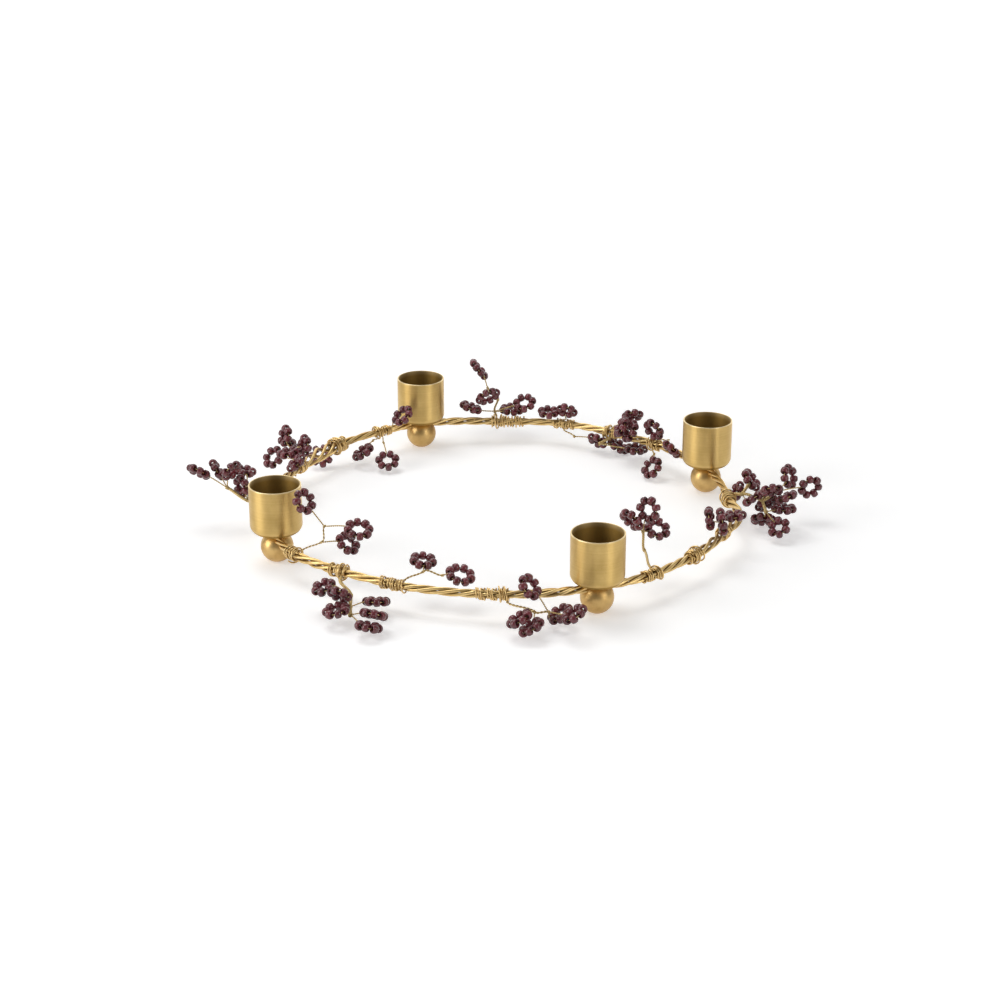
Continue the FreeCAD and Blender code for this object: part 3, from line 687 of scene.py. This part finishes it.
# The sprigs, named for the windings that hold them. Each leaves its winding at winding_share
# of the winding's length. A fork is (the fork it grows from, 0 being the winding, and its
# place), and a loop of beads is (its fork, its number of beads, its place, the way it faces
# from outward, and how far it tilts up). Places are out from the ring, along it and up, as
# shares of sprig_reach, and angles are in degrees.
sprig_place_shares = {
    "front_1": {
        "winding_share": 0.85, "trunk_share": 1.2,
        "forks": ((0, (-1.0, 0.55, 0.55)), (1, (-1.35, 0.3, 1.15))),
        "loops": (
            (2, 7, (-0.7, -0.25, 2.35), 100, 30),
            (2, 8, (-2.3, 1.6, 1.15), 70, 70),
            (1, 7, (-2.15, 0.95, 0.3), 110, 50),
        ),
    },
    "front_2": {
        "winding_share": 0.9, "trunk_share": 2.4,
        "forks": ((0, (1.1, 1.1, -0.4)), (1, (1.7, 1.5, -0.6)), (2, (2.1, 1.8, -0.75))),
        "loops": (
            (1, 6, (1.65, 0.05, -0.05), 330, 70),
            (2, 6, (1.86, 1.08, -0.08), 190, 40),
            (3, 7, (2.45, 1.3, -0.52), 310, 80),
            (2, 7, (0.75, 2.2, -0.55), 210, 70),
            (3, 7, (2.05, 3.0, -0.45), 190, 60),
            (3, 7, (2.65, 3.15, -0.75), 180, 70),
        ),
    },
    "front_3": {
        "winding_share": 0.9, "trunk_share": 1.3,
        "forks": ((0, (-0.85, 0.65, 0.45)), (1, (-1.2, 1.4, 0.25))),
        "loops": (
            (1, 7, (-1.5, 0.35, 0.65), 70, 80),
            (2, 8, (-1.55, 2.1, 0.25), 60, 70),
        ),
    },
    "front_4": {
        "winding_share": 0.9, "trunk_share": 1.5,
        "forks": ((0, (0.8, 1.2, -0.45)), (1, (0.8, 1.8, -0.45))),
        "loops": (
            (2, 7, (0.75, 1.0, 0.7), 60, 40),
            (1, 7, (1.7, 0.55, -0.35), 260, 60),
            (1, 7, (1.9, 1.05, -0.65), 260, 60),
            (2, 7, (0.7, 2.3, -0.6), 280, 60),
            (2, 7, (1.8, 2.85, -0.1), 270, 60),
        ),
    },
    "right_1": {
        "winding_share": 0.8, "trunk_share": 1.8,
        "forks": ((0, (-1.4, 0.65, 0.45)), (1, (-1.8, 0.95, 1.15))),
        "loops": (
            (2, 7, (-2.15, 0.55, 1.7), 90, 30),
            (2, 7, (-1.55, 1.0, 2.25), 280, 10),
            (2, 7, (-1.65, 1.7, 1.1), 340, 60),
        ),
    },
    "right_3": {
        "winding_share": 0.7, "trunk_share": 1.5,
        "forks": ((0, (-0.2, 0.0, 0.45)),),
        "loops": (
            (1, 6, (-0.4, -0.8, 0.9), 20, 10),
            (1, 8, (0.2, -0.8, 0.85), 30, 10),
            (1, 6, (0.2, 0.7, 0.6), 160, 80),
        ),
    },
    "right_4": {
        "winding_share": 0.8, "trunk_share": 2.2,
        "forks": ((0, (0.6, -0.4, 0.3)), (1, (1.4, -1.2, 0.3)), (2, (2.2, -0.9, 0.6)),
                  (1, (0.9, -0.3, 0.7)), (2, (1.5, -1.7, -0.1))),
        "loops": (
            (4, 7, (1.15, 0.25, 0.75), 340, 40),
            (1, 6, (0.55, 0.65, 0.0), 180, 30),
            (1, 7, (1.05, -0.95, 0.3), 140, 50),
            (2, 6, (1.75, -1.65, 0.95), 90, 50),
            (2, 7, (1.75, -0.65, -0.1), 120, 40),
            (5, 7, (2.45, -1.3, -0.15), 90, 80),
            (5, 7, (1.5, -1.2, -0.7), 80, 50),
            (3, 6, (2.45, -1.7, 0.6), 140, 60),
            (5, 6, (1.95, -2.6, -0.55), 230, 50),
            (3, 7, (2.9, -0.1, 1.0), 320, 20),
            (3, 7, (3.9, -0.3, 0.5), 100, 10),
        ),
    },
    "rear_1": {
        "winding_share": 0.5, "trunk_share": 1.2,
        "forks": ((0, (0.15, 0.3, 0.45)), (0, (-0.4, -0.3, -0.35)), (0, (0.3, -0.6, 0.3))),
        "loops": (
            (1, 7, (-0.3, -0.15, 0.9), 0, 20),
            (2, 7, (-1.5, -1.15, -0.55), 170, 40),
            (3, 6, (-0.85, -1.85, 0.45), 340, 40),
        ),
    },
    "rear_2": {
        "winding_share": 0.3, "trunk_share": 2.0,
        "forks": ((0, (0.1, -0.3, 0.5)), (0, (-0.8, 0.3, -0.4))),
        "loops": (
            (1, 6, (0.2, -1.05, 1.15), 40, 50),
            (1, 7, (-0.75, -1.0, 0.8), 130, 30),
            (1, 7, (-0.6, -1.45, 0.6), 140, 30),
            (2, 7, (0.25, -0.17, -0.73), 300, 60),
            (2, 7, (0.05, -1.4, -0.55), 60, 90),
        ),
    },
    "rear_3": {
        "winding_share": 0.5, "trunk_share": 1.2,
        "forks": ((0, (0.4, 0.1, 0.35)), (0, (-0.6, -0.7, -0.4))),
        "loops": (
            (1, 6, (0.0, 0.9, 0.55), 200, 80),
            (1, 6, (-0.08, -0.13, 0.77), 0, 40),
            (2, 6, (-0.6, -1.95, -0.5), 340, 40),
        ),
    },
    "rear_4": {
        "winding_share": 0.85, "trunk_share": 1.6,
        "forks": ((0, (0.3, 0.1, 0.45)), (1, (0.75, -0.05, 0.95)), (2, (0.95, 0.5, 1.5))),
        "loops": (
            (3, 8, (2.05, 1.0, 2.15), 280, 40),
            (2, 8, (0.05, 0.45, 1.35), 30, 40),
            (1, 7, (0.15, 1.35, 0.7), 290, 70),
            (1, 8, (0.95, -0.8, 0.35), 300, 90),
            (1, 7, (0.45, -1.45, 0.9), 160, 60),
        ),
    },
    "left_1_low": {
        "winding_share": 0.75, "trunk_share": 1.0,
        "forks": ((0, (-0.2, 0.5, -0.3)), (0, (-0.9, 0.3, -0.25))),
        "loops": (
            (1, 7, (-1.05, 1.65, -0.4), 60, 60),
            (2, 7, (-2.25, 0.95, -0.65), 150, 60),
        ),
    },
    "left_1_high": {
        "winding_share": 0.15, "trunk_share": 1.2,
        "forks": ((0, (-0.4, 0.0, 0.3)),),
        "loops": (
            (1, 7, (-1.3, -0.1, 1.15), 90, 50),
        ),
    },
    "left_2": {
        "winding_share": 0.9, "trunk_share": 1.2,
        "forks": ((0, (0.5, -0.4, -0.1)),),
        "loops": (
            (1, 7, (0.65, 0.25, -0.55), 140, 40),
        ),
    },
    "left_3": {
        "winding_share": 0.4, "trunk_share": 2.0,
        "forks": ((0, (0.2, 0.2, 0.45)), (1, (0.5, 0.0, 0.9))),
        "loops": (
            (2, 6, (1.0, -0.4, 1.35), 50, 20),
            (1, 6, (0.65, -0.8, 0.65), 210, 40),
            (2, 6, (-0.4, 0.2, 1.25), 50, 10),
            (1, 7, (1.4, 0.15, 0.35), 70, 40),
            (2, 6, (0.25, 0.7, 0.95), 20, 80),
            (1, 6, (-0.55, 1.45, 0.8), 30, 50),
        ),
    },
    "left_4": {
        "winding_share": 0.5, "trunk_share": 2.2,
        "forks": ((0, (0.8, 0.4, 0.35)), (1, (1.8, 0.0, 0.85))),
        "loops": (
            (2, 7, (3.15, -0.3, 1.55), 230, 50),
            (2, 6, (2.3, -0.65, 1.5), 190, 30),
            (2, 6, (1.55, 0.15, 1.75), 320, 30),
            (1, 6, (1.05, -1.0, 1.3), 180, 80),
            (1, 6, (1.12, 0.02, 0.93), 220, 0),
        ),
    },
}


def loop_radius(bead_count):
    """The radius of a loop on which its beads just clear each other."""
    return bead_hole / 2 + bead_end_width + (bead_length / 2 + bead_gap) / math.tan(math.pi / bead_count)


def bent(start, start_way, end, end_way):
    """Points of a springy wire that leaves one place and reaches another in set ways."""
    reach = (end - start).length
    count = max(4, round(reach / wire_step))
    points = []
    for number in range(count + 1):
        t = number / count
        points.append(start * (2 * t ** 3 - 3 * t ** 2 + 1) + start_way * reach * (t ** 3 - 2 * t ** 2 + t)
                      + end * (3 * t ** 2 - 2 * t ** 3) + end_way * reach * (t ** 3 - t ** 2))
    return points


def twist_along(points, lay, pitch, thick):
    """Rows for the twisting tree, with the turns counted from the length run so far."""
    way = (points[1] - points[0]).normalized()
    side = way.orthogonal().normalized()
    rows, run = [], 0.0
    for number, point in enumerate(points):
        ahead = (points[min(number + 1, len(points) - 1)] - points[max(number - 1, 0)]).normalized()
        side = (side - ahead * side.dot(ahead)).normalized()
        run += (point - points[number - 1]).length if number else 0.0
        rows.append((point, side.copy(), lay, run / pitch, thick))
    return rows


class Sprig:
    """One sprig: the paths of its wires, and the places of its beads."""
    def __init__(self, name, number):
        layout = sprig_place_shares[name]
        winding = windings["_".join(name.split("_")[:2])]
        turn = winding.turns * layout["winding_share"]
        share = winding.share_at(turn)
        self.root = ring_point(winding.stretch, share)
        self.along, self.outward, self.upward = ring_directions(winding.stretch, share)
        self.foot_radius = max(winding.radius_at(turn + side) for side in (-1, 0, 1)) + binding_diameter / 2
        self.trunk_diameter = pair_diameter * layout["trunk_share"]
        self.forks = [self.root] + [self.place(row[1]) for row in layout["forks"]]
        self.chance = random.Random(number)
        self.trunks, self.stems, self.rings, self.knots, self.beads = [], [], [], [], []
        self.grow_trunks([row[0] for row in layout["forks"]])
        for fork, bead_count, place_shares, facing, tilt in layout["loops"]:
            self.grow_loop(self.forks[fork], bead_count, self.place(place_shares), facing, tilt)

    def place(self, place_shares):
        out, along, rise = [sprig_reach * share for share in place_shares]
        return self.root + self.outward * out + self.along * along + self.upward * rise

    def grow_trunks(self, parents):
        chains = []
        for index, parent in enumerate(parents, 1):
            fork = self.forks[index]
            if parent == 0:
                way = fork - self.root
                way = (way - self.along * way.dot(self.along)).normalized()
                chains.append(([self.root + way * (self.foot_radius - root_sink)], way))
            elif parent != index - 1:
                chains.append(([self.forks[parent]], (fork - self.forks[parent]).normalized()))
            points, way = chains[-1]
            end_way = (way + (fork - points[-1]).normalized() * 2).normalized()
            points += bent(points[-1], way, fork, end_way)[1:]
            chains[-1] = (points, end_way)
            self.knots.append((fork, end_way))
        self.trunks = [points for points, _ in chains]

    def grow_loop(self, fork, bead_count, centre, facing, tilt):
        level = math.cos(math.radians(tilt))
        normal = (self.outward * (level * math.cos(math.radians(facing)))
                  + self.along * (level * math.sin(math.radians(facing)))
                  + self.upward * math.sin(math.radians(tilt)))
        stem = fork - centre
        stem = (stem - normal * stem.dot(normal)).normalized()
        side = normal.cross(stem)
        radius = loop_radius(bead_count)
        root = centre + stem * radius
        self.stems.append(bent(fork, (root - fork).normalized(), root, -stem))
        turns = [2 * math.pi * step / 36 for step in range(37)]
        self.rings.append([centre + (stem * math.cos(a) + side * math.sin(a)) * radius for a in turns])
        for number in range(bead_count):
            angle = 2 * math.pi * (number + 0.5) / bead_count
            spoke = stem * math.cos(angle) + side * math.sin(angle)
            slip = Vector([self.chance.uniform(-bead_slip_share, bead_slip_share) for _ in range(3)])
            size = bead_size_shares[len(self.beads) % len(bead_size_shares)]
            middle = centre + spoke * radius
            # A bead at the outer edge of the whole ring is a little smaller, so it stays inside
            room = min(min(middle[i] - cad_low[i], cad_high[i] - middle[i]) for i in range(3))
            size = min(size, room / (bead_reach_share * bead_diameter))
            hole_way = (normal.cross(spoke) + slip).normalized()
            self.beads.append((middle, hole_way, size, self.chance.random()))

    def wires(self, name):
        """The trunk's strands, the stems' pairs, the loops' single wires and the forks' knots."""
        strands = 2 if self.trunk_diameter < slim_trunk_diameter else 3
        thick = self.trunk_diameter * (0.5 if strands == 2 else triple_strand_share)
        trunk_lay = (self.trunk_diameter - thick) / 2
        pair_lay = fine_wire_diameter * pair_lay_share
        knots = []
        for fork, way in self.knots:
            points = [fork + way * knot_reach * (step / 24 - 1) for step in range(49)]
            knot_lay = self.trunk_diameter / 2 + knot_clearance
            knots.append(twist_along(points, knot_lay, knot_pitch, knot_wire_radius))
        sets = (
            ([twist_along(p, trunk_lay, trunk_lay_length, thick / 2) for p in self.trunks], strands),
            ([twist_along(p, pair_lay, pair_lay_length, fine_wire_diameter / 2) for p in self.stems], 2),
            ([twist_along(p, 0.0, 1.0, fine_wire_diameter / 2) for p in self.rings], 1),
            (knots, 1),
        )
        fine = {"Wire Sides": fine_wire_sides, "Wire Material": sprig_brass}
        return [grown(name, path_mesh(name, paths), twisted_wires, {"Wires": count, **fine})
                for paths, count in sets]


sprig_brass = wire_brass(
    "sprig_brass", (0.74, 0.56, 0.27, 1), (0.52, 0.37, 0.15, 1), (0.22, 0.14, 0.045, 1), 0.3)
sprigs = {name: Sprig(name, number) for number, name in enumerate(sprig_place_shares)}
for name, sprig in sprigs.items():
    settle(joined("sprig_" + name, sprig.wires(name)), "sprig_wire_brass", "sprig_wire_" + name)


# Seed beads
# Dark red glass seed beads, short and round with a wide hole, threaded on the loops. They
# differ a little in size and tone, and have a brighter, redder painted glow where they face the view.
bead_pitting = 0.06 * mm
bead_fullness = 0.9
bead_sides_around, bead_sides_across = 12, 8


def bead_tree():
    """Puts a bead on each point, with its hole along the point's own way."""
    tree = bpy.data.node_groups.new("Threaded Beads", "GeometryNodeTree")
    add_sockets(tree, "INPUT", ("Geometry", "Geometry"), ("Bead Diameter", "Float"),
                ("Bead Length", "Float"), ("Hole Diameter", "Float"), ("Sides Around", "Int"),
                ("Sides Across", "Int"), ("Bead Material", "Material"))
    add_sockets(tree, "OUTPUT", ("Geometry", "Geometry"))
    given = add_node(tree, "NodeGroupInput").outputs
    both = arithmetic(tree, "ADD", given["Bead Diameter"], given["Hole Diameter"])
    wall = arithmetic(tree, "SUBTRACT", given["Bead Diameter"], given["Hole Diameter"])
    middle = add_node(tree, "GeometryNodeCurvePrimitiveCircle", {
        "Resolution": given["Sides Around"], "Radius": arithmetic(tree, "MULTIPLY", both, 0.25)})
    section = add_node(tree, "GeometryNodeCurvePrimitiveCircle", {
        "Resolution": given["Sides Across"], "Radius": 1.0})
    place = add_node(tree, "GeometryNodeInputPosition").outputs[0]
    at = add_node(tree, "ShaderNodeSeparateXYZ", {0: place})

    def fuller(coordinate):
        size = arithmetic(tree, "POWER", arithmetic(tree, "ABSOLUTE", coordinate), bead_fullness)
        return arithmetic(tree, "MULTIPLY", arithmetic(tree, "SIGN", coordinate), size)

    corner = add_node(tree, "ShaderNodeCombineXYZ", {
        "X": fuller(at.outputs[0]), "Y": fuller(at.outputs[1])})
    section = add_node(tree, "GeometryNodeSetPosition", {"Geometry": section, "Position": corner})
    half_length = arithmetic(tree, "MULTIPLY", given["Bead Length"], 0.5)
    shape = add_node(tree, "ShaderNodeCombineXYZ", {
        "X": arithmetic(tree, "MULTIPLY", wall, 0.25), "Y": half_length, "Z": 1.0})
    oval = add_node(tree, "GeometryNodeTransform", {"Geometry": section, "Scale": shape})
    bead = add_node(tree, "GeometryNodeCurveToMesh", {"Curve": middle, "Profile Curve": oval})
    smooth = add_node(tree, "GeometryNodeSetShadeSmooth", {"Geometry": bead, "Shade Smooth": True})
    hole = add_node(tree, "GeometryNodeInputNamedAttribute", {"Name": "hole"}, data_type="FLOAT_VECTOR")
    turned = add_node(tree, "FunctionNodeAlignRotationToVector", {"Vector": hole}, axis="Z")
    size = add_node(tree, "GeometryNodeInputNamedAttribute", {"Name": "size"}, data_type="FLOAT")
    beads = add_node(tree, "GeometryNodeInstanceOnPoints", {
        "Points": given["Geometry"], "Instance": smooth, "Rotation": turned,
        "Scale": size})
    whole = add_node(tree, "GeometryNodeRealizeInstances", {"Geometry": beads})
    coloured = add_node(tree, "GeometryNodeSetMaterial", {
        "Geometry": whole, "Material": given["Bead Material"]})
    add_node(tree, "NodeGroupOutput", {"Geometry": coloured})
    return tree


def bead_glass_material():
    material, tree, shader, place = new_surface("bead_glass", metallic=0.0)
    tone = surface_value(tree, "tone")
    cloud = noise(tree, place, 420.0, 3.0, 0.6)
    body = colour_mix(tree, tone, (0.044, 0.006, 0.008, 1), (0.145, 0.020, 0.027, 1))
    veins = stretch_range(tree, cloud, 0.45, 0.75, 0.0, 0.5)
    veined = colour_mix(tree, veins, body, (0.21, 0.055, 0.065, 1))
    # A painted glow: where each bead faces the view it is mixed towards a brighter red
    rim = add_node(tree, "ShaderNodeLayerWeight", {"Blend": 0.35}).outputs["Facing"]
    glow = arithmetic(tree, "MULTIPLY", arithmetic(tree, "SUBTRACT", 1.0, rim), 0.35)
    colour = colour_mix(tree, glow, veined, (0.25, 0.042, 0.056, 1))
    rough = stretch_range(tree, cloud, 0.3, 0.7, 0.08, 0.2)
    finish_surface(tree, shader, colour, rough, cloud, bead_pitting, 0.6)
    shader.inputs["IOR"].default_value = 1.6
    return material


threaded_beads = bead_tree()
bead_glass = bead_glass_material()
for name, sprig in sprigs.items():
    mesh = bpy.data.meshes.new(name)
    mesh.from_pydata([bead[0] for bead in sprig.beads], [], [])
    holes = [part for bead in sprig.beads for part in bead[1]]
    mesh.attributes.new("hole", "FLOAT_VECTOR", "POINT").data.foreach_set("vector", holes)
    soft_attribute(mesh, "size", [bead[2] for bead in sprig.beads])
    soft_attribute(mesh, "tone", [bead[3] for bead in sprig.beads])
    made = grown(name, mesh, threaded_beads, {
        "Bead Diameter": bead_diameter, "Bead Length": bead_length, "Hole Diameter": bead_hole,
        "Sides Around": bead_sides_around, "Sides Across": bead_sides_across,
        "Bead Material": bead_glass})
    settle(link_piece("beads_" + name, made, bead_glass), "bead_glass", "sprig_beads_" + name)


# Floor and backdrop
# A plain white sweep. It shows white in the picture and in the metal, and keeps the
# ring's soft shadow.
def sweep_material():
    material = bpy.data.materials.new("white_sweep")
    material.use_nodes = True
    tree = material.node_tree
    tree.nodes.clear()
    paper = add_node(tree, "ShaderNodeBsdfDiffuse", {"Color": (0.86, 0.86, 0.86, 1)})
    place = add_node(tree, "ShaderNodeTexCoord").outputs["Object"]
    away = add_node(tree, "ShaderNodeVectorMath", {0: place}, operation="LENGTH").outputs["Value"]
    glow = stretch_range(tree, away, 0.15, 1.2, 0.38, 1.0)
    light = add_node(tree, "ShaderNodeEmission", {"Color": (1, 1, 1, 1), "Strength": glow})
    path = add_node(tree, "ShaderNodeLightPath").outputs
    seen = arithmetic(tree, "ADD", path["Is Camera Ray"], path["Is Glossy Ray"])
    seen = arithmetic(tree, "ADD", seen, path["Is Transmission Ray"])
    dark = add_node(tree, "ShaderNodeEmission", {"Strength": 0.0})
    lit = add_node(tree, "ShaderNodeMixShader", {0: seen, 1: dark, 2: light})
    both = add_node(tree, "ShaderNodeAddShader", {0: paper, 1: lit})
    add_node(tree, "ShaderNodeOutputMaterial", {"Surface": both})
    return material


floor_mesh = bpy.data.meshes.new("sweep")
half, front, back, top, bend = 3.0, -3.0, 1.6, 2.5, 0.6
profile = [(front, 0.0)] + round_arc(back, bend, bend, -90, 0, 12) + [(back + bend, top)]
rows = [(x, y, z) for y, z in profile for x in (-half, half)]
floor_mesh.from_pydata(rows, [], [
    (2 * i, 2 * i + 1, 2 * i + 3, 2 * i + 2) for i in range(len(profile) - 1)])
floor = link_piece("sweep", floor_mesh, sweep_material())


# Light
# Two tall soft lamps stand low at the left and the right front, a wide weak one hangs
# overhead, and the room beyond them is plain grey, darker on the camera's side.
def soft_lamp(name, place, target, width, height, power):
    data = bpy.data.lights.new(name, "AREA")
    data.shape, data.size, data.size_y, data.energy = "RECTANGLE", width, height, power
    lamp = bpy.data.objects.new(name, data)
    lamp.location = place
    lamp.rotation_euler = (Vector(target) - Vector(place)).to_track_quat("-Z", "Y").to_euler()
    lamp.visible_camera = False
    bpy.context.scene.collection.objects.link(lamp)


soft_lamp("left_lamp", (-1.0, -0.38, 0.42), (0, 0, 0.02), 0.6, 0.8, 5.5)
soft_lamp("right_lamp", (0.75, -0.70, 0.40), (0, 0, 0.02), 0.35, 0.75, 2.6)
soft_lamp("top_lamp", (-0.35, 0.3, 1.2), (0, 0, 0), 0.7, 0.7, 5.0)
world = bpy.data.worlds.new("studio")
bpy.context.scene.world = world
world.use_nodes = True
room = world.node_tree
room.nodes.clear()
sky = add_node(room, "ShaderNodeTexCoord").outputs["Generated"]
way = add_node(room, "ShaderNodeSeparateXYZ", {0: sky})
level = stretch_range(room, way.outputs["Y"], -0.9, 0.3, 0.16, 0.42)
grey = add_node(room, "ShaderNodeBackground", {"Color": (1, 1, 1, 1), "Strength": level})
white = add_node(room, "ShaderNodeBackground", {"Color": (1, 1, 1, 1), "Strength": 1.0})
path = add_node(room, "ShaderNodeLightPath").outputs
shown = add_node(room, "ShaderNodeMixShader", {0: path["Is Camera Ray"], 1: grey, 2: white})
add_node(room, "ShaderNodeOutputWorld", {"Surface": shown})


# Camera
# A long lens about a metre away, looking down at the ring a little.
downward_tilt = 22.1
camera_data = bpy.data.cameras.new("camera")
camera_data.lens, camera_data.sensor_width = 78.05, 36.0
camera = bpy.data.objects.new("camera", camera_data)
camera.location = (1.4 * mm, -956.9 * mm, 400.0 * mm)
camera.rotation_euler = (math.radians(90 - downward_tilt), 0, 0)
bpy.context.scene.collection.objects.link(camera)
bpy.context.scene.camera = camera
bpy.context.scene.view_settings.view_transform = "Standard"
